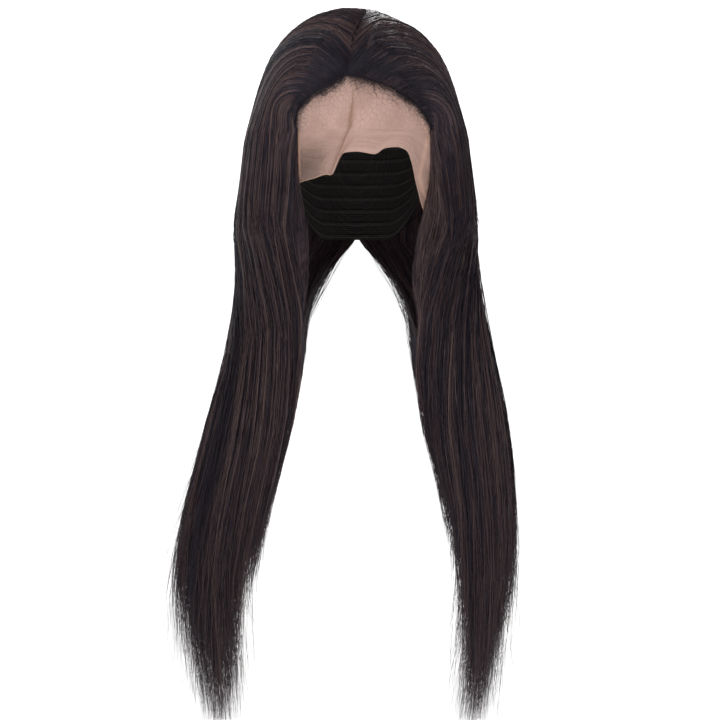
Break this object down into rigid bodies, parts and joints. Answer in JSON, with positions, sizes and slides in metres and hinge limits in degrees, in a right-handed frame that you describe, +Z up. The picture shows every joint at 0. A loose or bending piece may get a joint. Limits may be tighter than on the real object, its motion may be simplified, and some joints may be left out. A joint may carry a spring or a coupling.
{
  "type": "lace front wig",
  "caption": "Long straight lace front wig as it keeps its form on a head: net cap, sheer lace over the forehead, hair parted and brought forward over both shoulders to thinned ends.",
  "frame": {"origin": "inside of the cap at the crown, where the top of a head bears", "axes": "+Z up, -Y the way the face looks, +X to the right of someone who looks at the face"},
  "size_m": [0.2899, 0.2297, 0.6264],
  "materials": {
    "hair": "satin",
    "lace": "matte",
    "net": "matte"
  },
  "bodies": {
    "root": {"lace_front": "lace", "wig_cap": "net", "front_hair_left": "hair", "front_hair_right": "hair", "crown_hair_left": "hair", "crown_hair_right": "hair", "back_hair_left": "hair", "back_hair_right": "hair"}
  },
  "joints": []
}
